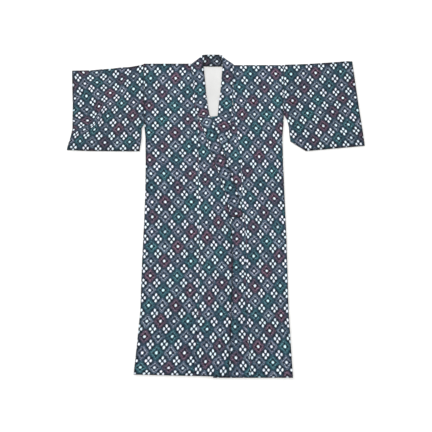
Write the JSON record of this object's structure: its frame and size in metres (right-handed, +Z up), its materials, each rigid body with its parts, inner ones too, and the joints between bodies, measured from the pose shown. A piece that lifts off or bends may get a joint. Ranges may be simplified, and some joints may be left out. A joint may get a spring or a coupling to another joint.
{
  "type": "lined kimono laid out flat",
  "caption": "Lined woven-pattern kimono laid out flat with open sleeves, overlapping fronts and a collar band that stands behind the neck.",
  "frame": {"origin": "middle of the laid garment, on the surface that it lies on", "axes": "+Z up from the surface, +Y from the hem towards the collar, +X to the right as the garment is seen face up"},
  "size_m": [1.268, 1.379, 0.0089],
  "materials": {
    "patterned_silk": "woven ikat silk in dark indigo with white, teal, maroon and grey lilac motifs",
    "lining_silk": "plain woven cream white silk lining"
  },
  "bodies": {
    "root": {"body_left": "patterned_silk", "body_right": "patterned_silk", "okumi_lower": "patterned_silk", "okumi_upper": "patterned_silk", "collar_lower": "patterned_silk", "collar_upper": "patterned_silk", "collar_nape": "patterned_silk", "sleeve_left": "patterned_silk", "sleeve_right": "patterned_silk", "neck_lining": "lining_silk"}
  },
  "joints": []
}
